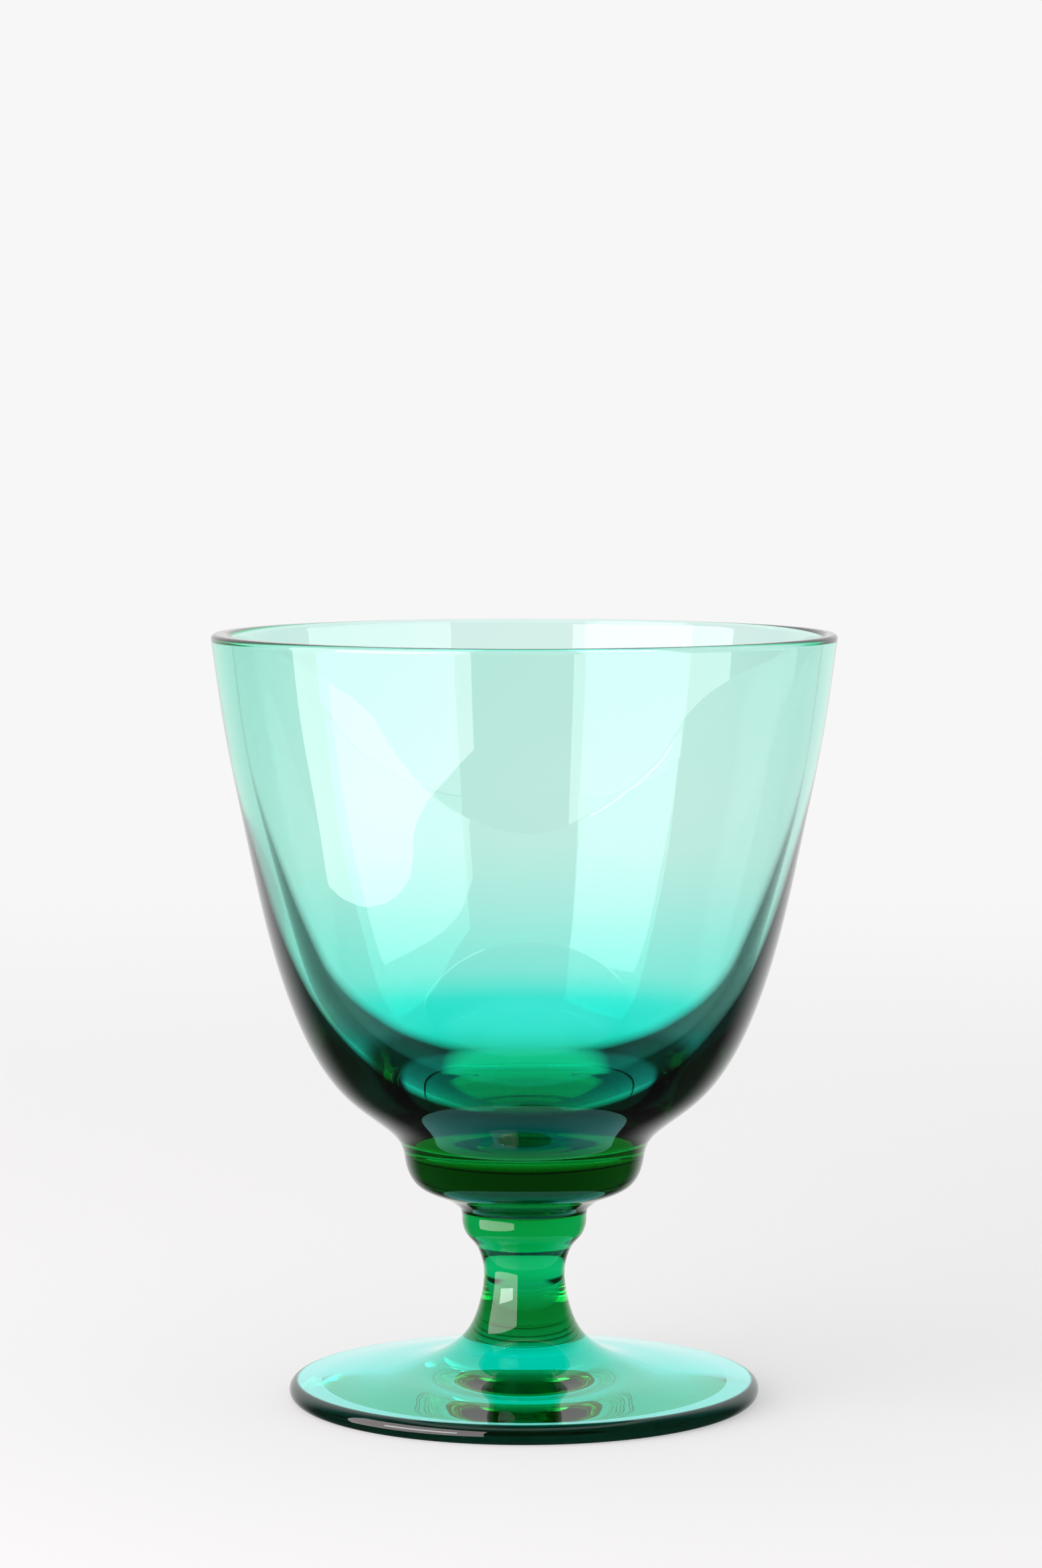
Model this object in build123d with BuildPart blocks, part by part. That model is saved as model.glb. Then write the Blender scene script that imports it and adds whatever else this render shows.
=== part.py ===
from build123d import *
import os

# A short-stemmed wine glass of solid-coloured glass, in millimetres.
# +Z is up, the glass stands on z = 0 and every piece is turned about the Z axis.
# From the table up it is a foot, a stem, a lower collar, an upper collar and a bowl.
# Each piece was joined hot to the next: its rounded lower end sits in a matching hollow
# in the piece below, and the two outlines run smoothly into each other at the joint.

# ---------------------------------------------------------------- foot
foot_diameter = 73.7
foot_edge_thickness = 3.1
rest_ring_width = 4.0         # flat ring that stands on the table
underside_hollow = 0.9        # how far the middle of the underside is clear of the table
hub_height = 9.8              # where the foot meets the stem
hub_diameter = 19.2
hub_flare = (-1.0, 1.05)      # direction of the outline there, going up
foot_apron_diameter = 27.0    # where the hub has run out into the disc
foot_apron_height = 7.0
foot_mid_diameter = 48.0
foot_mid_height = 4.85
foot_edge_slope = (-1.0, 0.13)

# ---------------------------------------------------------------- stem
stem_length = 10.3
waist_diameter = 12.66        # narrowest place, at the joint with the lower collar
stem_mid_diameter = 13.9
stem_mid_height = 5.5         # above the foot joint
stem_end_bulge = 1.3          # rounding of the end that sits in the foot

# ---------------------------------------------------------------- lower collar
lower_collar_height = 10.2
lower_collar_diameter = 19.45
lower_collar_belly = 8.1      # height of its widest part above the waist
lower_neck_diameter = 13.6
lower_neck_height = 2.4
lower_collar_taper_diameter = 15.3
lower_collar_taper_height = 4.2
lower_collar_shoulder_diameter = 18.4
lower_collar_shoulder_height = 6.1
lower_collar_end_bulge = 1.5

# ---------------------------------------------------------------- upper collar
upper_collar_height = 9.9
lower_collar_top_diameter = 20.5
upper_collar_diameter = 36.9
upper_collar_belly = 6.5      # height of its straight side above the lower joint
upper_collar_shoulder_diameter = 33.9
upper_collar_shoulder_height = 3.7
upper_collar_under_diameter = 26.3
upper_collar_under_height = 1.75
upper_collar_end_bulge = 1.2

# ---------------------------------------------------------------- bowl
# Stations go up the bowl: a height above its joint, an outside diameter, and the wall's
# thickness measured level.  Above the shoulder a station's level runs from 0 at the
# shoulder to 1 at the rim, so that the wall keeps its sweep when the bowl's height changes.
bowl_height = 79.8
bowl_neck_diameter = 38.6
bowl_neck_flare = (0.5, 1.0)
bowl_end_bulge = 2.8
bowl_floor = 2.3              # inside bottom, above the joint
foot_of_wall_height = 3.3
foot_of_wall_diameter = 44.9
under_height = 7.6
under_diameter = 55.8
heel_height = 12.0
heel_diameter = 63.0
heel_wall = 6.0
shoulder_height = 20.0
shoulder_diameter = 71.2
shoulder_wall = 3.9
belly_level = 0.2
belly_diameter = 79.1
belly_wall = 3.1
flank_level = 0.5
flank_diameter = 87.1
flank_wall = 2.4
upper_flank_level = 0.735
upper_flank_diameter = 92.7
upper_flank_wall = 2.45
rim_diameter = 97.3
rim_flare = (0.14, 1.0)       # direction of the wall at the rim, going up
lip_wall = 2.6
lip_outer_round = 0.7
lip_inner_round = 1.1

# ---------------------------------------------------------------- joint heights
foot_joint = hub_height
waist_joint = foot_joint + stem_length
collar_joint = waist_joint + lower_collar_height
bowl_joint = collar_joint + upper_collar_height

foot_edge_radius = foot_edge_thickness / 2
foot_edge_centre = foot_diameter / 2 - foot_edge_radius
rest_ring_inner = foot_edge_centre - rest_ring_width

# Directions of the outline at the joints, going up, shared by the two pieces that meet.
waist_flare = (0.03, 1.0)
collar_flare = (1.0, 0.9)

# The upper pieces end in caps.  Each cap is one arc, level at the axis, and the piece
# below is cut with the same arc.
stem_end = ((0, foot_joint - stem_end_bulge), (hub_diameter / 2, foot_joint))
lower_collar_end = (
    (0, waist_joint - lower_collar_end_bulge),
    (waist_diameter / 2, waist_joint),
)
upper_collar_end = (
    (0, collar_joint - upper_collar_end_bulge),
    (lower_collar_top_diameter / 2, collar_joint),
)
bowl_end = ((0, bowl_joint - bowl_end_bulge), (bowl_neck_diameter / 2, bowl_joint))
level = (1, 0)

os.makedirs("parts", exist_ok=True)

# Foot: a flared disc with a full round edge.  Only a flat ring touches the table.
with BuildPart() as foot:
    with BuildSketch(Plane.XZ):
        with BuildLine():
            TangentArc((0, underside_hollow), (rest_ring_inner, 0), tangent=level)
            Line((rest_ring_inner, 0), (foot_edge_centre, 0))
            ThreePointArc(
                (foot_edge_centre, 0),
                (foot_diameter / 2, foot_edge_radius),
                (foot_edge_centre, foot_edge_thickness),
            )
            Spline(
                (foot_edge_centre, foot_edge_thickness),
                (foot_mid_diameter / 2, foot_mid_height),
                (foot_apron_diameter / 2, foot_apron_height),
                (hub_diameter / 2, hub_height),
                tangents=[foot_edge_slope, hub_flare],
            )
            TangentArc(*stem_end, tangent=level)
            Line(stem_end[0], (0, underside_hollow))
        make_face()
    revolve(axis=Axis.Z)

# Stem: drawn thin at the waist and flared where it runs into the foot.
with BuildPart() as stem:
    with BuildSketch(Plane.XZ):
        with BuildLine():
            TangentArc(*stem_end, tangent=level)
            Spline(
                (hub_diameter / 2, foot_joint),
                (stem_mid_diameter / 2, foot_joint + stem_mid_height),
                (waist_diameter / 2, waist_joint),
                tangents=[hub_flare, waist_flare],
            )
            TangentArc(*lower_collar_end, tangent=level)
            Line(lower_collar_end[0], stem_end[0])
        make_face()
    revolve(axis=Axis.Z)

# Lower collar: a soft-edged ring that narrows into the waist.
with BuildPart() as lower_collar:
    with BuildSketch(Plane.XZ):
        with BuildLine():
            TangentArc(*lower_collar_end, tangent=level)
            Spline(
                (waist_diameter / 2, waist_joint),
                (lower_neck_diameter / 2, waist_joint + lower_neck_height),
                (lower_collar_taper_diameter / 2, waist_joint + lower_collar_taper_height),
                (
                    lower_collar_shoulder_diameter / 2,
                    waist_joint + lower_collar_shoulder_height,
                ),
                (lower_collar_diameter / 2, waist_joint + lower_collar_belly),
                (lower_collar_top_diameter / 2, collar_joint),
                tangents=[waist_flare, collar_flare],
            )
            TangentArc(*upper_collar_end, tangent=level)
            Line(upper_collar_end[0], lower_collar_end[0])
        make_face()
    revolve(axis=Axis.Z)

# Upper collar: the wide step under the bowl, with a rounded lower shoulder.
with BuildPart() as upper_collar:
    with BuildSketch(Plane.XZ):
        with BuildLine():
            TangentArc(*upper_collar_end, tangent=level)
            Spline(
                (lower_collar_top_diameter / 2, collar_joint),
                (
                    upper_collar_under_diameter / 2,
                    collar_joint + upper_collar_under_height,
                ),
                (
                    upper_collar_shoulder_diameter / 2,
                    collar_joint + upper_collar_shoulder_height,
                ),
                (upper_collar_diameter / 2, collar_joint + upper_collar_belly),
                (bowl_neck_diameter / 2, bowl_joint),
                tangents=[collar_flare, bowl_neck_flare],
            )
            TangentArc(*bowl_end, tangent=level)
            Line(bowl_end[0], upper_collar_end[0])
        make_face()
    revolve(axis=Axis.Z)

# Bowl: the wall thickens towards a rounded bottom, and the lip is softened by the flame.
with BuildPart() as bowl:
    rim = bowl_joint + bowl_height
    shoulder = bowl_joint + shoulder_height
    heel = bowl_joint + heel_height
    floor = bowl_joint + bowl_floor
    belly = shoulder + belly_level * (rim - shoulder)
    flank = shoulder + flank_level * (rim - shoulder)
    upper_flank = shoulder + upper_flank_level * (rim - shoulder)
    lip_outside = (rim_diameter / 2, rim)
    lip_inside = (rim_diameter / 2 - lip_wall, rim)
    with BuildSketch(Plane.XZ):
        with BuildLine():
            TangentArc(*bowl_end, tangent=level)
            Spline(
                (bowl_neck_diameter / 2, bowl_joint),
                (foot_of_wall_diameter / 2, bowl_joint + foot_of_wall_height),
                (under_diameter / 2, bowl_joint + under_height),
                (heel_diameter / 2, heel),
                (shoulder_diameter / 2, shoulder),
                (belly_diameter / 2, belly),
                (flank_diameter / 2, flank),
                (upper_flank_diameter / 2, upper_flank),
                lip_outside,
                tangents=[bowl_neck_flare, rim_flare],
            )
            Line(lip_outside, lip_inside)
            Spline(
                lip_inside,
                (upper_flank_diameter / 2 - upper_flank_wall, upper_flank),
                (flank_diameter / 2 - flank_wall, flank),
                (belly_diameter / 2 - belly_wall, belly),
                (shoulder_diameter / 2 - shoulder_wall, shoulder),
                (heel_diameter / 2 - heel_wall, heel),
                (0, floor),
                tangents=[(-rim_flare[0], -rim_flare[1]), (-1, 0)],
            )
            Line((0, floor), bowl_end[0])
        make_face()
    revolve(axis=Axis.Z)
    lip_edges = bowl.edges().filter_by(GeomType.CIRCLE).group_by(Axis.Z)[-1]
    fillet(lip_edges.sort_by(SortBy.RADIUS)[-1], lip_outer_round)
    lip_edges = bowl.edges().filter_by(GeomType.CIRCLE).group_by(Axis.Z)[-1]
    fillet(lip_edges.sort_by(SortBy.RADIUS)[0], lip_inner_round)

pieces = {
    "foot": foot,
    "stem": stem,
    "lower_collar": lower_collar,
    "upper_collar": upper_collar,
    "bowl": bowl,
}
for piece_name, piece in pieces.items():
    piece.part.label = piece_name
    export_step(piece.part, f"parts/{piece_name}.step")
    print(f"{piece_name}: {piece.part.volume:.0f} mm3, {piece.part.bounding_box()}")
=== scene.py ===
import math

import bmesh
import bpy
import numpy as np
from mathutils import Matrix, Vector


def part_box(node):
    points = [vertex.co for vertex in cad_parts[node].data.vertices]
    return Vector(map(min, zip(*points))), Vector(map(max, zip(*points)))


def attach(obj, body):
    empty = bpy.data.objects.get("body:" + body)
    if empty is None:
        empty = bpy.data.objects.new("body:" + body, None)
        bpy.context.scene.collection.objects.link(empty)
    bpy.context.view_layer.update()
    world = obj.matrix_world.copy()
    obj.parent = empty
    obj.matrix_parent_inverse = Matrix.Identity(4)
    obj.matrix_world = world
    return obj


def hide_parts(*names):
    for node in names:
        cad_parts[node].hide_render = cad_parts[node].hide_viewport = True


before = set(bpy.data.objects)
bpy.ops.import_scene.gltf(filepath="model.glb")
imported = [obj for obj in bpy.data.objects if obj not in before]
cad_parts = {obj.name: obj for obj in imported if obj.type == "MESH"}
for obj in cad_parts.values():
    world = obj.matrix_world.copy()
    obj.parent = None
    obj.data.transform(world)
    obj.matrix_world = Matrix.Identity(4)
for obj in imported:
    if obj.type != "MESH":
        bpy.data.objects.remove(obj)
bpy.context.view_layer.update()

# A short-stemmed wine glass of green glass, in metres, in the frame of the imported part.
# Each gather of glass is turned about the upright axis from its own outline, and takes
# the place of its CAD node.  Where two gathers were joined hot, each has a weld face that
# bends no light, so the green runs through from one to the other.

MM = 0.001

# ------------------------------------------------------------------ sizes from the frame
foot_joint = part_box("foot")[1].z
waist_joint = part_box("stem")[1].z
collar_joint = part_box("lower_collar")[1].z
bowl_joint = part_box("upper_collar")[1].z
rim_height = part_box("bowl")[1].z
foot_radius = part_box("foot")[1].x
hub_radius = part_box("stem")[1].x
lower_collar_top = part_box("lower_collar")[1].x
bowl_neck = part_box("upper_collar")[1].x

# Two more sizes of the part, which no box gives.
waist_radius = 6.33 * MM
rim_radius = 48.65 * MM      # of the wall's outer corner, before the lip rounds it off

# Directions of the outline where two gathers meet, and at the rim, going up.
hub_flare = (-1.0, 1.05)
waist_flare = (0.03, 1.0)
collar_flare = (1.0, 0.9)
neck_flare = (0.5, 1.0)
rim_flare = (0.14, 1.0)

# How deep each rounded end sits in the gather below.
stem_end = 1.3 * MM
lower_collar_end = 1.5 * MM
upper_collar_end = 1.2 * MM
bowl_end = 2.8 * MM
weld_gap = 0.004 * MM        # keeps two weld faces from lying in one place
same_place = 0.0002 * MM     # corners of a mesh that are this close become one

wedges, wedge_steps = 8, 36  # divisions round the axis: wedges, and steps in each
bowl_end_steps = 32          # divisions of the bowl's rounded end, and of its hollow


# ------------------------------------------------------------------ outlines
def swept(points, start, end, divisions):
    """Points on the smooth curve through points that leaves along start and arrives along
    end.  They crowd towards both ends, where the outline runs on into the next piece."""
    points = np.array(points, float)
    steps = np.linalg.norm(np.diff(points, axis=0), axis=1)
    knots = np.concatenate([[0.0], np.cumsum(steps)])
    count = len(points)
    matrix = np.eye(count)
    slopes = np.zeros((count, 2))
    slopes[0] = np.array(start) / np.linalg.norm(start)
    slopes[-1] = np.array(end) / np.linalg.norm(end)
    for i in range(1, count - 1):
        before, after = steps[i - 1], steps[i]
        matrix[i, i - 1 : i + 2] = after, 2 * (before + after), before
        slopes[i] = 3 * (
            after / before * (points[i] - points[i - 1])
            + before / after * (points[i + 1] - points[i])
        )
    slopes = np.linalg.solve(matrix, slopes)
    found = []
    for step in range(divisions + 1):
        place = knots[-1] * (1 - math.cos(math.pi * step / divisions)) / 2
        i = min(max(int(np.searchsorted(knots, place)) - 1, 0), count - 2)
        t = (place - knots[i]) / steps[i]
        found.append(
            (1 + 2 * t) * (1 - t) ** 2 * points[i]
            + t * (1 - t) ** 2 * steps[i] * slopes[i]
            + t**2 * (3 - 2 * t) * points[i + 1]
            + t**2 * (t - 1) * steps[i] * slopes[i + 1]
        )
    return found


def dish(radius, joint, depth, divisions=24, lift=0.0):
    """A shallow dish from the axis out to radius at the joint's height, level at the axis."""
    ball = (radius**2 + depth**2) / (2 * depth)
    spread = math.asin(radius / ball)
    found = []
    for step in range(divisions + 1):
        angle = spread * math.sin(math.pi * step / divisions / 2)
        height = joint - depth + ball * (1 - math.cos(angle))
        found.append((ball * math.sin(angle), height + lift))
    return found


def rounded(before, corner, after, radius, divisions):
    """An arc of that radius in place of the corner between two nearly straight runs."""
    before, corner, after = (np.array(p, float) for p in (before, corner, after))
    u = (before - corner) / np.linalg.norm(before - corner)
    v = (after - corner) / np.linalg.norm(after - corner)
    half = math.acos(float(u @ v)) / 2
    centre = corner + (u + v) / np.linalg.norm(u + v) * radius / math.sin(half)
    spokes = [corner + d * radius / math.tan(half) - centre for d in (u, v)]
    start, finish = (math.atan2(s[1], s[0]) for s in spokes)
    sweep = (finish - start + math.pi) % (2 * math.pi) - math.pi
    found = []
    for step in range(divisions + 1):
        angle = start + sweep * step / divisions
        found.append(centre + radius * np.array([math.cos(angle), math.sin(angle)]))
    return found


def spun(runs, thickness):
    """A closed mesh turned from the runs of its outline, which begins and ends on the
    axis.  Each run is its points and whether it is a weld face, inside the glass.  One
    wedge is turned first, and then copied round.  thickness(radius, height) says where on
    its glass's scale of shades, from 0 to 1, each place is."""
    shape = bmesh.new()
    weld = shape.faces.layers.float.new("weld")
    deep = shape.verts.layers.float.new("thickness")
    about = {"cent": (0, 0, 0), "axis": (0, 0, 1), "dvec": (0, 0, 0)}
    wedge = 2 * math.pi / wedges
    for points, fused in runs:
        verts = [shape.verts.new((max(p[0], 0.0), 0.0, p[1])) for p in points]
        edges = [shape.edges.new(pair) for pair in zip(verts, verts[1:])]
        made = len(shape.faces)
        bmesh.ops.spin(
            shape, geom=verts + edges, angle=wedge, steps=wedge_steps, use_merge=False,
            use_normal_flip=False, use_duplicate=False, **about,
        )
        for face in list(shape.faces)[made:]:
            face[weld] = 1.0 if fused else 0.0
    bmesh.ops.spin(
        shape, geom=list(shape.verts) + list(shape.edges) + list(shape.faces),
        angle=2 * math.pi - wedge, steps=wedges - 1, use_merge=False,
        use_normal_flip=False, use_duplicate=True, **about,
    )
    bmesh.ops.remove_doubles(shape, verts=shape.verts, dist=same_place)
    bmesh.ops.recalc_face_normals(shape, faces=shape.faces)
    for face in shape.faces:
        face.smooth = True
    for edge in shape.edges:
        if len({face[weld] for face in edge.link_faces}) > 1:
            edge.smooth = False
    for vert in shape.verts:
        vert[deep] = thickness(math.hypot(vert.co.x, vert.co.y), vert.co.z)
    return shape


def ease(value, start, end):
    """0 before start and 1 past end, with a soft start and finish.  Either can be the
    higher."""
    t = min(max((value - start) / (end - start), 0.0), 1.0)
    return t * t * (3 - 2 * t)


def stand_in(name, shape, cad_node, glass):
    """Makes the finished mesh a piece that stands in for its CAD node."""
    mesh = bpy.data.meshes.new(name)
    shape.to_mesh(mesh)
    shape.free()
    mesh.materials.append(glass)
    piece = bpy.data.objects.new(name, mesh)
    bpy.context.scene.collection.objects.link(piece)
    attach(piece, "root")
    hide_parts(cad_node)


# ------------------------------------------------------------------ shader nodes
def node(tree, kind, inputs=(), **settings):
    """A new node of that kind in the tree, with its settings, and with values or links for
    its inputs by name or by number."""
    made = tree.nodes.new(kind)
    for key, value in settings.items():
        setattr(made, key, value)
    for key, value in dict(inputs).items():
        if isinstance(value, bpy.types.NodeSocket):
            tree.links.new(value, made.inputs[key])
        else:
            made.inputs[key].default_value = value
    return made


def calculated(tree, operation, *values):
    """What a Math node makes of the values."""
    return node(tree, "ShaderNodeMath", dict(enumerate(values)), operation=operation).outputs[0]


def eased(tree, value, start, end, before=0.0, past=1.0, curve="SMOOTHSTEP"):
    """The value drawn along a soft curve from before, at start, to past, at end."""
    return node(tree, "ShaderNodeMapRange", {
        "Value": value, "From Min": start, "From Max": end, "To Min": before, "To Max": past,
    }, interpolation_type=curve).outputs["Result"]


def colour_steps(tree, share, steps):
    """The colour at that share of the way through the steps, each a place and a colour."""
    made = node(tree, "ShaderNodeValToRGB", {"Fac": share})
    elements = made.color_ramp.elements
    while len(elements) < len(steps):
        elements.new(0.5)
    for element, (place, colour) in zip(elements, steps):
        element.position = place
        element.color = (*colour, 1)
    return made.outputs["Color"]


# ------------------------------------------------------------------ glass
wave_size = 0.03             # metres from one wave of the skin to the next
relief_height = 0.1 * MM     # of a whole wave in the bump
ring_scale = 260.0           # how close together the rings are
ring_change = 0.06           # how fast they change from side to side, against up and down
glass_index = 1.5            # index of refraction
weld_drop = 0.5              # how much less it is on a weld face, which bends no light


def skin_group():
    """The skin of hand-worked glass: slow waves left by blowing, and fine rings round the
    axis left by the tools."""
    group = bpy.data.node_groups.new("hand_worked_skin", "ShaderNodeTree")
    for name, start in (("Wave Size", wave_size), ("Waves", 1.0), ("Rings", 0.2)):
        socket = group.interface.new_socket(name, in_out="INPUT", socket_type="NodeSocketFloat")
        socket.default_value = start
    group.interface.new_socket("Height", in_out="OUTPUT", socket_type="NodeSocketFloat")
    given = group.nodes.new("NodeGroupInput").outputs
    place = node(group, "ShaderNodeTexCoord").outputs["Object"]
    waves = node(group, "ShaderNodeTexNoise", {
        "Vector": place,
        "Scale": calculated(group, "DIVIDE", 1.0, given["Wave Size"]),
        "Detail": 1.0,
        "Roughness": 0.3,
    })
    x, y, z = node(group, "ShaderNodeSeparateXYZ", {0: place}).outputs
    squares = [calculated(group, "POWER", part, 2.0) for part in (x, y)]
    radius = calculated(group, "SQRT", calculated(group, "ADD", *squares))
    drawn_round = node(group, "ShaderNodeCombineXYZ", {
        "X": calculated(group, "MULTIPLY", x, ring_change), "Y": radius, "Z": z,
    })
    rings = node(group, "ShaderNodeTexNoise", {
        "Vector": drawn_round.outputs[0], "Scale": ring_scale, "Detail": 2.0,
    })
    relief = calculated(
        group, "ADD",
        calculated(group, "MULTIPLY", waves.outputs["Fac"], given["Waves"]),
        calculated(group, "MULTIPLY", rings.outputs["Fac"], given["Rings"]),
    )
    node(group, "NodeGroupOutput", {"Height": relief})
    return group


hand_worked_skin = skin_group()

# Painted shade: glass seen along its wall is painted nearly black, standing in for the
# dark room that thick glass shows there.  A list of edges gives, for heights in metres,
# the slant of the skin where that begins: 0 faces the viewer, and 1 is edge-on.
painted_edge_shade = (0.00003, 0.0006, 0.0004)
edge_shade_softness = (-0.03, 0.07)            # the painted shade comes in from before that slant to past it
no_edge_shade = ((0.0, 2.0), (1.0, 2.0))      # a slant that is never reached, so no painted edge shade


def green_glass(name, soaks, shades, waves, rings, edges=no_edge_shade, least_inside=0.0):
    """Clear green glass.  soaks is how much red, green and blue each metre of it soaks up.
    shades are its further tints, placed on the scale of the attribute thickness.  Light on
    its way out of the glass counts as at least least_inside on that scale, so that a dark
    shade at 0, which is painted shade, darkens only what comes in from outside.  edges
    paint shade too: the skin is painted nearly black where it slants away from the viewer."""
    glass = bpy.data.materials.new(name)
    glass.use_nodes = True
    tree = glass.node_tree

    thickness = node(tree, "ShaderNodeAttribute", attribute_name="thickness").outputs["Fac"]
    on_way_out = node(tree, "ShaderNodeNewGeometry").outputs["Backfacing"]
    inside = calculated(tree, "MULTIPLY", on_way_out, least_inside)
    tint = colour_steps(tree, calculated(tree, "MAXIMUM", thickness, inside), shades)

    place = node(tree, "ShaderNodeTexCoord").outputs["Object"]
    lowest, highest = edges[0][0], edges[-1][0]
    level = node(tree, "ShaderNodeMapRange", {
        "Value": node(tree, "ShaderNodeSeparateXYZ", {0: place}).outputs["Z"],
        "From Min": lowest, "From Max": highest,
    }).outputs["Result"]
    least_slant = colour_steps(tree, level, [
        ((height - lowest) / (highest - lowest), (least, least, least))
        for height, least in edges
    ])
    slant = node(tree, "ShaderNodeLayerWeight", {"Blend": 0.5}).outputs["Facing"]
    # painted shade: how far the skin has gone into the near-black edge colour
    painted_edge_shade_share = eased(tree, calculated(tree, "SUBTRACT", slant, least_slant), *edge_shade_softness)
    colour = node(tree, "ShaderNodeMix", {
        "Factor": painted_edge_shade_share, "A": tint, "B": (*painted_edge_shade, 1),
    }, data_type="RGBA").outputs["Result"]

    skin = node(tree, "ShaderNodeGroup", {
        "Wave Size": wave_size, "Waves": waves, "Rings": rings,
    }, node_tree=hand_worked_skin).outputs["Height"]
    relief = node(tree, "ShaderNodeBump", {"Height": skin, "Distance": relief_height})

    weld = node(tree, "ShaderNodeAttribute", attribute_name="weld").outputs["Fac"]
    shader = tree.nodes["Principled BSDF"]
    shader.inputs["Metallic"].default_value = 0.0
    shader.inputs["Roughness"].default_value = 0.0
    shader.inputs["Transmission Weight"].default_value = 1.0
    for socket, source in (
        ("IOR", calculated(tree, "MULTIPLY_ADD", weld, -weld_drop, glass_index)),
        ("Base Color", colour),
        ("Normal", relief.outputs["Normal"]),
    ):
        tree.links.new(source, shader.inputs[socket])

    density = max(soaks)
    soak = node(tree, "ShaderNodeVolumeAbsorption", {
        "Color": (*(1 - part / density for part in soaks), 1), "Density": density,
    })
    tree.links.new(soak.outputs["Volume"], tree.nodes["Material Output"].inputs["Volume"])
    return glass


bowl_glass = green_glass(
    "bowl_glass",
    soaks=(112, 13, 34),
    shades=[
        (0.0, (1.0, 1.0, 1.0)),
        (0.4, (0.65, 1.0, 0.99)),
        (0.5, (0.05, 0.97, 0.93)),
        (1.0, (0.01, 0.5, 0.14)),
    ],
    waves=0.35,
    rings=0.03,
    # edges paint shade: the lower flanks are painted near-black where the skin slants away
    edges=(
        (0.0425, 0.9),
        (0.0445, 0.58),
        (0.0465, 0.42),
        (0.0485, 0.31),
        (0.056, 0.39),
        (0.066, 0.55),
        (0.076, 0.66),
        (0.1, 0.9),
    ),
)
upper_merese_glass = green_glass(
    "upper_merese_glass",
    soaks=(400, 92, 200),
    shades=[(0.0, (0.1, 0.9, 0.75)), (1.0, (0.1, 0.9, 0.75))],
    waves=0.3,
    rings=0.05,
)
lower_merese_glass = green_glass(
    "lower_merese_glass",
    soaks=(400, 57, 150),
    shades=[(0.0, (0.1, 1.0, 0.9)), (1.0, (0.1, 1.0, 0.9))],
    waves=0.3,
    rings=0.05,
)
stem_glass = green_glass(
    "stem_glass",
    soaks=(400, 42, 125),
    shades=[(0.0, (0.1, 1.0, 1.0)), (1.0, (0.03, 0.5, 0.3))],
    waves=0.3,
    rings=0.05,
)
foot_glass = green_glass(
    "foot_glass",
    soaks=(300, 7, 13),
    shades=[
        # The first shade is painted shade: the round edge, seen from outside, is painted
        # near-black.
        (0.0, (0.0001, 0.0015, 0.001)),
        (0.5, (0.85, 0.98, 0.93)),
        (1.0, (0.05, 0.75, 0.6)),
    ],
    waves=0.3,
    rings=0.02,
    least_inside=0.5,
)

# ------------------------------------------------------------------ foot
edge_radius = 1.55 * MM
edge_centre = foot_radius - edge_radius
edge_steps = 32
ring_width = 4.0 * MM        # of the flat ring that the foot stands on
ring_inner = edge_centre - ring_width
ring_steps = 8
hollow = 0.9 * MM            # how far the underside rises inside that ring
foot_edge = [
    (
        edge_centre + edge_radius * math.sin(math.pi * step / edge_steps),
        edge_radius - edge_radius * math.cos(math.pi * step / edge_steps),
    )
    for step in range(edge_steps + 1)
]
foot_top = swept(
    [
        (edge_centre, 2 * edge_radius),
        (24.0 * MM, 4.85 * MM),
        (13.5 * MM, 7.0 * MM),
        (hub_radius, foot_joint),
    ],
    (-1.0, 0.13),
    hub_flare,
    divisions=72,
)
underside = [(r, hollow - z) for r, z in dish(ring_inner, hollow, hollow, divisions=40)]
rest_ring = [
    (ring_inner + (edge_centre - ring_inner) * step / ring_steps, 0)
    for step in range(ring_steps + 1)
]


def foot_shade(radius, height):
    """0 on the round edge, painted near-black as shade, a half on the disc, and 1 on the hub.
    """
    off_painted_dark_rim = ease(radius, edge_centre + 0.4 * MM, edge_centre)
    up_hub = ease(height, 3.5 * MM, 8.0 * MM)
    return off_painted_dark_rim / 2 + up_hub / 2


stand_in("blown_foot", spun([
    (underside, False),
    (rest_ring, False),
    (foot_edge, False),
    (foot_top, False),
    (dish(hub_radius, foot_joint, stem_end)[::-1], True),
], foot_shade), "foot", foot_glass)

# ------------------------------------------------------------------ stem
stem_skin = swept(
    [
        (hub_radius, foot_joint + weld_gap),
        (6.95 * MM, foot_joint + 5.5 * MM),
        (waist_radius, waist_joint),
    ],
    hub_flare,
    waist_flare,
    divisions=64,
)


def stem_shade(radius, height):
    """1 at the foot of the stem, and 0 in its waist."""
    return ease(height, 21 * MM, 14 * MM)


stand_in("drawn_stem", spun([
    (dish(hub_radius, foot_joint, stem_end, lift=weld_gap), True),
    (stem_skin, False),
    (dish(waist_radius, waist_joint, lower_collar_end)[::-1], True),
], stem_shade), "stem", stem_glass)


# ------------------------------------------------------------------ collars
def collar_shade(radius, height):
    """1 all over, as a collar is solid glass."""
    return 1.0


lower_collar_skin = swept(
    [
        (waist_radius, waist_joint + weld_gap),
        (6.8 * MM, waist_joint + 2.4 * MM),
        (7.65 * MM, waist_joint + 4.2 * MM),
        (9.2 * MM, waist_joint + 6.1 * MM),
        (9.725 * MM, waist_joint + 8.1 * MM),
        (lower_collar_top, collar_joint),
    ],
    waist_flare,
    collar_flare,
    divisions=72,
)
stand_in("lower_merese", spun([
    (dish(waist_radius, waist_joint, lower_collar_end, lift=weld_gap), True),
    (lower_collar_skin, False),
    (dish(lower_collar_top, collar_joint, upper_collar_end)[::-1], True),
], collar_shade), "lower_collar", lower_merese_glass)

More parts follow.
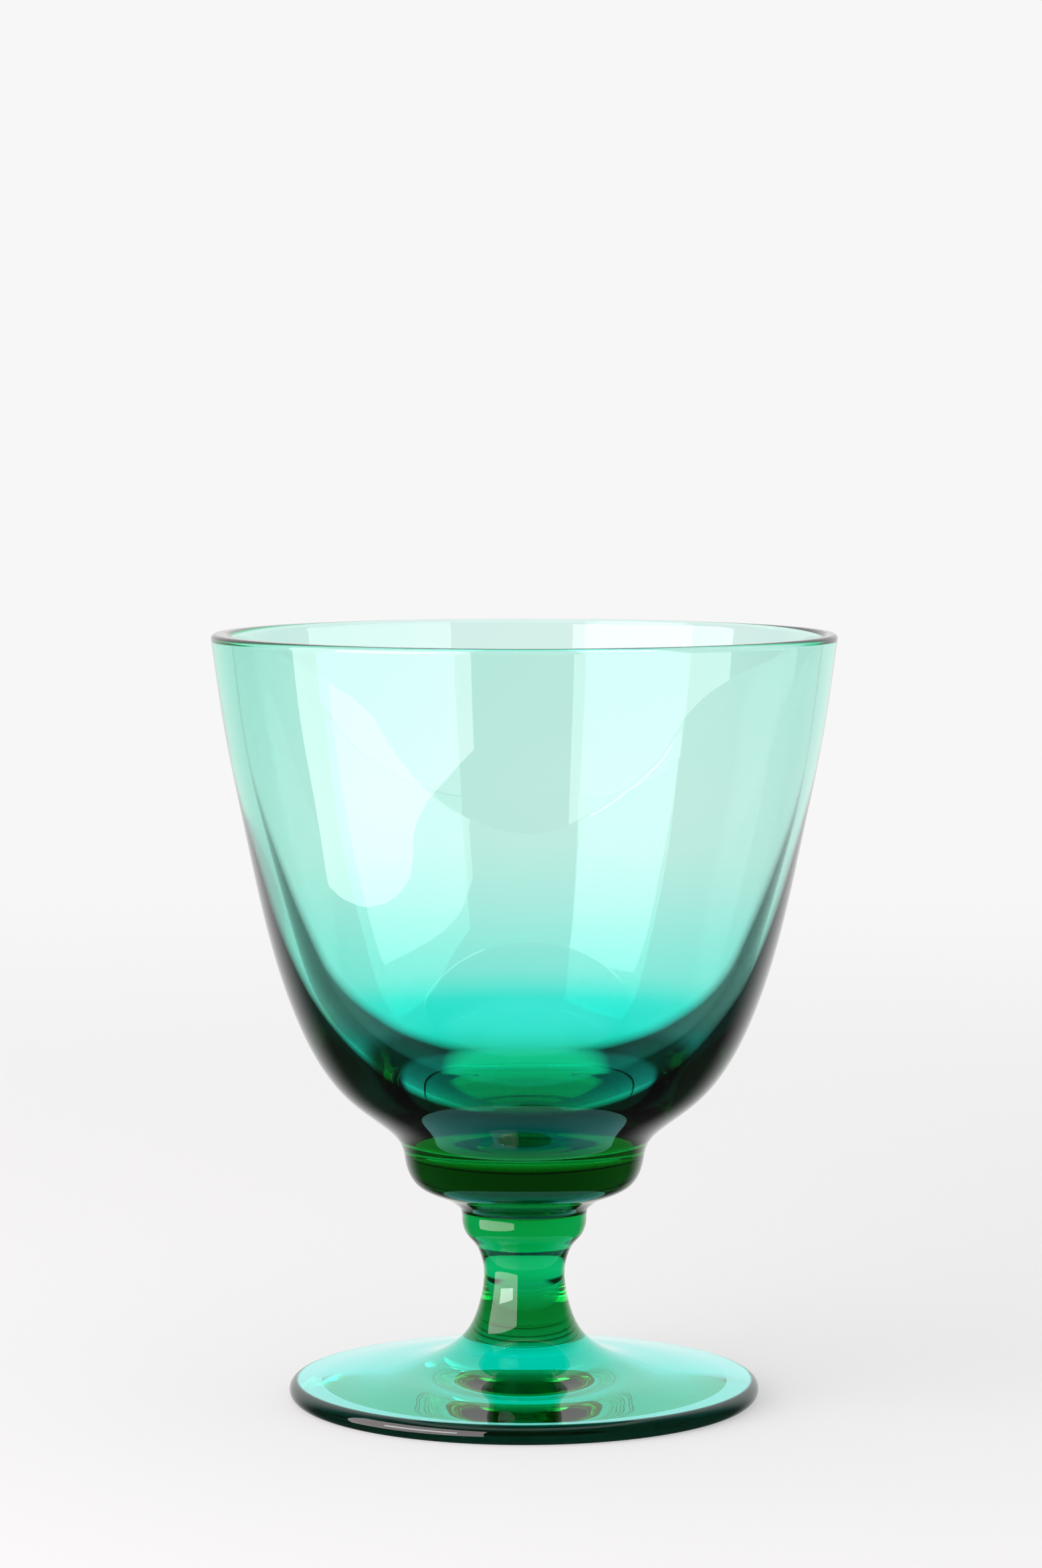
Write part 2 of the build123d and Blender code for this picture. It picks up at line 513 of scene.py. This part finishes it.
upper_collar_skin = swept(
    [
        (lower_collar_top, collar_joint + weld_gap),
        (13.15 * MM, collar_joint + 1.75 * MM),
        (16.95 * MM, collar_joint + 3.7 * MM),
        (18.45 * MM, collar_joint + 6.5 * MM),
        (bowl_neck, bowl_joint),
    ],
    collar_flare,
    neck_flare,
    divisions=72,
)
stand_in("upper_merese", spun([
    (dish(lower_collar_top, collar_joint, upper_collar_end, lift=weld_gap), True),
    (upper_collar_skin, False),
    (dish(bowl_neck, bowl_joint, bowl_end, bowl_end_steps)[::-1], True),
], collar_shade), "upper_collar", upper_merese_glass)

# ------------------------------------------------------------------ bowl
heel = bowl_joint + 12.0 * MM
shoulder = bowl_joint + 20.0 * MM
belly = shoulder + 0.2 * (rim_height - shoulder)
flank = shoulder + 0.5 * (rim_height - shoulder)
upper_flank = shoulder + 0.735 * (rim_height - shoulder)
lip_wall = 2.6 * MM          # the wall's thickness at the rim
outer_lip = 0.7 * MM         # radii of the lip's outer and inner rounds
inner_lip = 1.1 * MM
outer_wall = swept(
    [
        (bowl_neck, bowl_joint + weld_gap),
        (22.45 * MM, bowl_joint + 3.3 * MM),
        (27.9 * MM, bowl_joint + 7.6 * MM),
        (31.5 * MM, heel),
        (35.6 * MM, shoulder),
        (39.55 * MM, belly),
        (43.55 * MM, flank),
        (46.35 * MM, upper_flank),
        (rim_radius, rim_height),
    ],
    neck_flare,
    rim_flare,
    divisions=100,
)
inner_wall = swept(
    [
        (rim_radius - lip_wall, rim_height),
        (43.9 * MM, upper_flank),
        (41.15 * MM, flank),
        (36.45 * MM, belly),
        (31.7 * MM, shoulder),
        (25.5 * MM, heel),
        (0.0, bowl_joint + 2.3 * MM),
    ],
    (-rim_flare[0], -rim_flare[1]),
    (-1.0, 0.0),
    divisions=100,
)


def lip(outer_wall, inner_wall):
    """Both walls cut short of the rim, and the fire-polished lip that joins them."""
    outside, inside = outer_wall[-1], inner_wall[0]
    run_in = 3               # points from the rim to where each wall's direction is taken
    spare = 0.02 * MM        # keeps a wall's last point off the first of the lip
    top_steps = 6
    outer_round = rounded(outer_wall[-1 - run_in], outside, inside, outer_lip, divisions=10)
    inner_round = rounded(outside, inside, inner_wall[run_in], inner_lip, divisions=12)
    across = inner_round[0] - outer_round[-1]
    top = [outer_round[-1] + across * step / top_steps for step in range(1, top_steps)]
    walls = [
        [p for p in outer_wall if p[1] < outer_round[0][1] - spare],
        [p for p in inner_wall if p[1] < inner_round[-1][1] - spare],
    ]
    return walls[0] + outer_round + top + inner_round + walls[1]


# The hollow of a mouth-blown bowl is a little off the axis, and its skin swells in waves:
# how many there are around it, their twist in radians a metre of height, where they
# start, and their share.
off_axis = 0.42 * MM
swell_height = 0.012 * MM
swell_waves = ((5, 95, 0.7, 1.0), (8, -130, 2.0, 0.7))
swell_fade = 2.0 * MM        # how far outside the hollow's wall the unevenness ends
swell_start, swell_full = 8 * MM, 30 * MM    # where it begins and is full, from the axis


def blown_unevenly(shape):
    """The bowl's mesh with its hollow made uneven."""
    heights = [p[1] for p in inner_wall[::-1]]
    radii = [p[0] for p in inner_wall[::-1]]
    lowest = heights[0] - 0.01 * MM
    for vert in shape.verts:
        x, y, z = vert.co
        radius = math.hypot(x, y)
        inward = np.interp(z, heights, radii) + swell_fade - radius
        if z < lowest or inward < 0:
            continue
        share = ease(inward, 0, swell_fade) * ease(radius, swell_start, swell_full)
        around = math.atan2(y, x)
        swell = sum(
            size * math.sin(count * around + twist * z + start)
            for count, twist, start, size in swell_waves
        )
        factor = 1 + swell_height * swell * share / max(radius, MM)
        vert.co = (x * factor + off_axis * share, y * factor, z)
    return shape


def bowl_shade(radius, height):
    """From 0 near the lip to a half low on the wall, and on to 1 at the solid end, though
    much less on the bottom of the hollow."""
    thin_above, thickening = 82 * MM, 25 * MM
    wall = min(max((thin_above - height) / thickening, 0), 1)
    solid = ease(height, 51 * MM, 43 * MM)
    rise = height - bowl_joint
    on_hollow = ease(rise - (radius - bowl_neck) / 2, 4.5 * MM, 6.5 * MM)
    on_hollow *= ease(rise, 0.5 * MM, 2.2 * MM)
    lost_on_hollow = 0.85
    return wall / 2 + solid * (1 - lost_on_hollow * on_hollow) / 2


stand_in("blown_bowl", blown_unevenly(spun([
    (dish(bowl_neck, bowl_joint, bowl_end, bowl_end_steps, lift=weld_gap), True),
    (lip(outer_wall, inner_wall), False),
], bowl_shade)), "bowl", bowl_glass)


# ------------------------------------------------------------------ lamps
def softbox(
    name, azimuth, distance, width, low, high, radiance, colour=(1, 1, 1), hidden_from=(),
):
    """A tall soft lamp that faces the glass.  Azimuth is turned from the camera's side, in
    degrees, and low and high are the heights of its edges.  hidden_from is the kinds of
    ray that don't see it."""
    light = bpy.data.lights.new(name, "AREA")
    light.shape = "RECTANGLE"
    light.size, light.size_y = width, high - low
    light.color = colour
    light.energy = radiance * math.pi * width * (high - low)
    lamp = bpy.data.objects.new(name, light)
    around = math.radians(azimuth)
    x, y = distance * math.sin(around), -distance * math.cos(around)
    lamp.location = (x, y, (low + high) / 2)
    lamp.rotation_euler = (math.pi / 2, 0, around)
    lamp.visible_camera = False
    for rays in hidden_from:
        setattr(lamp, "visible_" + rays, False)
    bpy.context.scene.collection.objects.link(lamp)


softbox(
    "left_softbox", azimuth=-56, distance=1.0, width=1.5, low=-0.4, high=0.85, radiance=4.4,
    colour=(1.0, 0.85, 0.9), hidden_from=("transmission",),
)
softbox(
    "inner_softbox", azimuth=-48, distance=1.0, width=0.85, low=0.0, high=0.85, radiance=5.0,
    colour=(1.0, 0.7, 0.78), hidden_from=("glossy", "diffuse"),
)
softbox(
    "right_softbox", azimuth=62, distance=1.0, width=1.3, low=0.0, high=0.62, radiance=5.0,
    colour=(1.0, 0.7, 0.78), hidden_from=("glossy", "diffuse"),
)
softbox(
    "low_lamp", azimuth=-50, distance=0.5, width=0.34, low=0.02, high=0.12, radiance=9.0,
)

# ------------------------------------------------------------------ room
pale = 0.93                  # the backdrop and the floor, past the glass and through it
dim = 0.05                   # the rest of the room, as the glass reflects it
through_glass = 0.95         # the room through the glass
dim_overhead = 0.3           # and through the glass from high up
overhead = (0.55, 0.85)      # where that begins and is full: sines of the angle above level
on_matt = 0.85               # the room as it lights the floor

world = bpy.data.worlds.new("pale_studio")
bpy.context.scene.world = world
world.use_nodes = True
room = world.node_tree
looking = node(room, "ShaderNodeTexCoord").outputs["Generated"]


def mixed(share, first, second):
    """A strength in the room that goes from the first to the second as share goes to 1."""
    inputs = {"Factor": share, "A": first, "B": second}
    return node(room, "ShaderNodeMix", inputs).outputs["Result"]


def sheet_towards(direction, edge, middle):
    """1 towards the middle of a white sheet that hangs in that direction, 0 off it."""
    ends = {0: looking, 1: direction}
    facing = node(room, "ShaderNodeVectorMath", ends, operation="DOT_PRODUCT").outputs["Value"]
    return eased(room, facing, edge, middle)


behind = sheet_towards((0, 0.94, 0.34), edge=0.4, middle=0.85)
above = sheet_towards((0, 0, 1), edge=0.8, middle=0.9)
reflected = mixed(calculated(room, "MAXIMUM", behind, above), dim, pale)
height = node(room, "ShaderNodeSeparateXYZ", {0: looking}).outputs["Z"]
seen_through = eased(room, height, *overhead, before=through_glass, past=dim_overhead)
rays = node(room, "ShaderNodeLightPath").outputs
strength = mixed(rays["Is Transmission Ray"], reflected, seen_through)
strength = mixed(rays["Is Diffuse Ray"], strength, on_matt)
strength = mixed(rays["Is Camera Ray"], strength, pale)
backdrop = room.nodes["Background"].inputs
backdrop["Color"].default_value = (1, 1, 1, 1)
room.links.new(strength, backdrop["Strength"])

# ------------------------------------------------------------------ floor
floor_radius = 6.0
matt_reach = (0.05, 0.9)     # distances over which matt paper gives way to plain glow
matt_glow = 0.5              # the share of glow nearer than that
# A ring of painted shadow on the floor, which only the glass shows:
shadow_ring_inside = (0.045, 0.05)  # distances over which the painted shadow ring comes in
shadow_ring_outside = (0.062, 0.08)    # and over which it goes out again
shadow_ring_sides = (0.018, 0.03)   # distances to the left or right over which its dark grows full
shadow_ring_middle = 0.2            # the share of dark nearer than that
shadow_ring_glow = 0.02             # strength of the floor's glow where the ring is darkest

floor_shape = bmesh.new()
bmesh.ops.create_circle(floor_shape, cap_ends=True, radius=floor_radius, segments=96)
floor_mesh = bpy.data.meshes.new("floor")
floor_shape.to_mesh(floor_mesh)
floor_shape.free()
floor = bpy.data.objects.new("floor", floor_mesh)
bpy.context.scene.collection.objects.link(floor)
floor.visible_glossy = False
paper = bpy.data.materials.new("pale_floor")
paper.use_nodes = True
floor_mesh.materials.append(paper)
ground = paper.node_tree
matt = ground.nodes["Principled BSDF"]
matt.inputs["Base Color"].default_value = (0.75, 0.75, 0.75, 1)
matt.inputs["Roughness"].default_value = 0.9
matt.inputs["Specular IOR Level"].default_value = 0.0

# Near the glass the floor is half matt paper, which takes its shadow.  Further off, and
# wherever it is seen through the glass, it only glows.  Its glow lights nothing matt.
place = node(ground, "ShaderNodeTexCoord").outputs["Object"]
distance = node(ground, "ShaderNodeVectorMath", {0: place}, operation="LENGTH").outputs["Value"]
rays = node(ground, "ShaderNodeLightPath").outputs
far = eased(ground, distance, *matt_reach, before=matt_glow, curve="SMOOTHERSTEP")
direct = calculated(ground, "SUBTRACT", 1.0, rays["Is Diffuse Ray"])
glowing = calculated(
    ground, "MAXIMUM", calculated(ground, "MULTIPLY", far, direct), rays["Is Transmission Ray"],
)

# Painted shadow: seen through the glass only, a ring of the floor round the foot is dark
# at its left and right sides, and less so at the front and back.
painted_shadow_ring = calculated(
    ground, "SUBTRACT",
    eased(ground, distance, *shadow_ring_inside), eased(ground, distance, *shadow_ring_outside),
)
across = node(ground, "ShaderNodeSeparateXYZ", {0: place}).outputs["X"]
aside = calculated(ground, "ABSOLUTE", across)
sides = eased(ground, aside, *shadow_ring_sides, before=shadow_ring_middle)
painted_shadow_ring = calculated(ground, "MULTIPLY", painted_shadow_ring, sides)
painted_shadow_ring = calculated(ground, "MULTIPLY", painted_shadow_ring, rays["Is Transmission Ray"])
strength = node(ground, "ShaderNodeMapRange", {
    "Value": painted_shadow_ring, "To Min": pale, "To Max": shadow_ring_glow,
}).outputs["Result"]
glow = node(ground, "ShaderNodeEmission", {"Strength": strength}).outputs[0]
top = node(ground, "ShaderNodeMixShader", {0: glowing, 1: matt.outputs[0], 2: glow}).outputs[0]
ground.links.new(top, ground.nodes["Material Output"].inputs["Surface"])

# ------------------------------------------------------------------ camera
picture_height, focal, sideways = 2360, 7243.3, -5    # all in one unit
view = bpy.data.cameras.new("camera")
view.sensor_width = 36.0
view.lens = focal / picture_height * view.sensor_width
view.shift_x = sideways / picture_height
camera_distance, camera_height = 0.7458, 0.15642
camera_dip = 4.595           # degrees below level
camera = bpy.data.objects.new("camera", view)
camera.location = (0.0, -camera_distance, camera_height)
camera.rotation_euler = (math.radians(90 - camera_dip), 0, 0)
bpy.context.scene.collection.objects.link(camera)
scene = bpy.context.scene
scene.camera = camera
scene.view_settings.view_transform = "Standard"
scene.cycles.max_bounces = 32
scene.cycles.transmission_bounces = 32
scene.cycles.glossy_bounces = 16
